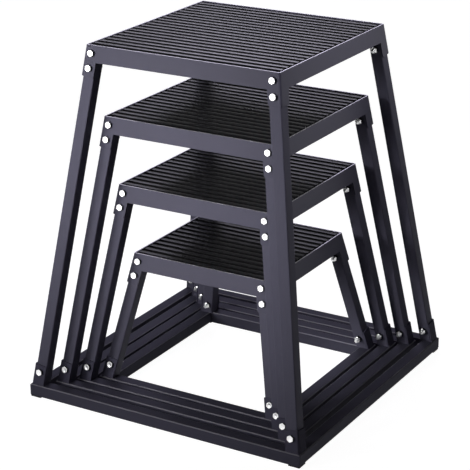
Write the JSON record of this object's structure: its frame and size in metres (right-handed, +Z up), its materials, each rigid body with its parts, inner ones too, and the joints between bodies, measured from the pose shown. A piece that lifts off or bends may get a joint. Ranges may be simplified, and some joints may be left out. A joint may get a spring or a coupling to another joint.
{
  "type": "nesting plyo box set",
  "caption": "Nested black steel jump platforms with sloping square-tube legs, ribbed rubber treads and bolted corners; each larger platform lifts off the one inside it.",
  "frame": {"origin": "on the floor under the middle of the nested set", "axes": "+Z up, -Y the front with the bolt heads, +X the right"},
  "size_m": [0.6556, 0.6556, 0.762],
  "materials": {
    "black_powder_coat": "satin black powder coat with a slight violet cast",
    "mat_rubber": "semi-matt ribbed black rubber",
    "foot_rubber": "matt black rubber",
    "zinc_steel": "bright zinc-plated steel"
  },
  "bodies": {
    "platform_12": {"p12_tread_mat": "mat_rubber", "p12_deck_plate": "black_powder_coat", "p12_rim_bars": "black_powder_coat", "p12_top_brackets": "black_powder_coat", "p12_leg_front_left": "black_powder_coat", "p12_leg_front_right": "black_powder_coat", "p12_leg_back_left": "black_powder_coat", "p12_leg_back_right": "black_powder_coat", "p12_base_rails_front_back": "black_powder_coat", "p12_base_rails_sides": "black_powder_coat", "p12_base_brackets": "black_powder_coat", "p12_foot_pads": "foot_rubber", "p12_bolts": "zinc_steel", "p12_lock_nuts": "zinc_steel"},
    "platform_18": {"p18_tread_mat": "mat_rubber", "p18_deck_plate": "black_powder_coat", "p18_rim_bars": "black_powder_coat", "p18_top_brackets": "black_powder_coat", "p18_leg_front_left": "black_powder_coat", "p18_leg_front_right": "black_powder_coat", "p18_leg_back_left": "black_powder_coat", "p18_leg_back_right": "black_powder_coat", "p18_base_rails_front_back": "black_powder_coat", "p18_base_rails_sides": "black_powder_coat", "p18_base_brackets": "black_powder_coat", "p18_foot_pads": "foot_rubber", "p18_bolts": "zinc_steel", "p18_lock_nuts": "zinc_steel"},
    "platform_24": {"p24_tread_mat": "mat_rubber", "p24_deck_plate": "black_powder_coat", "p24_rim_bars": "black_powder_coat", "p24_top_brackets": "black_powder_coat", "p24_leg_front_left": "black_powder_coat", "p24_leg_front_right": "black_powder_coat", "p24_leg_back_left": "black_powder_coat", "p24_leg_back_right": "black_powder_coat", "p24_base_rails_front_back": "black_powder_coat", "p24_base_rails_sides": "black_powder_coat", "p24_base_brackets": "black_powder_coat", "p24_foot_pads": "foot_rubber", "p24_bolts": "zinc_steel", "p24_lock_nuts": "zinc_steel"},
    "platform_30": {"p30_tread_mat": "mat_rubber", "p30_deck_plate": "black_powder_coat", "p30_rim_bars": "black_powder_coat", "p30_top_brackets": "black_powder_coat", "p30_leg_front_left": "black_powder_coat", "p30_leg_front_right": "black_powder_coat", "p30_leg_back_left": "black_powder_coat", "p30_leg_back_right": "black_powder_coat", "p30_base_rails_front_back": "black_powder_coat", "p30_base_rails_sides": "black_powder_coat", "p30_base_brackets": "black_powder_coat", "p30_foot_pads": "foot_rubber", "p30_bolts": "zinc_steel", "p30_lock_nuts": "zinc_steel"}
  },
  "joints": [
    {"name": "lift_18", "type": "slide", "parent": "platform_12", "child": "platform_18", "axis": [0, 0, 1], "range_m": [0, 0.33]},
    {"name": "lift_24", "type": "slide", "parent": "platform_18", "child": "platform_24", "axis": [0, 0, 1], "range_m": [0, 0.48]},
    {"name": "lift_30", "type": "slide", "parent": "platform_24", "child": "platform_30", "axis": [0, 0, 1], "range_m": [0, 0.63]}
  ]
}
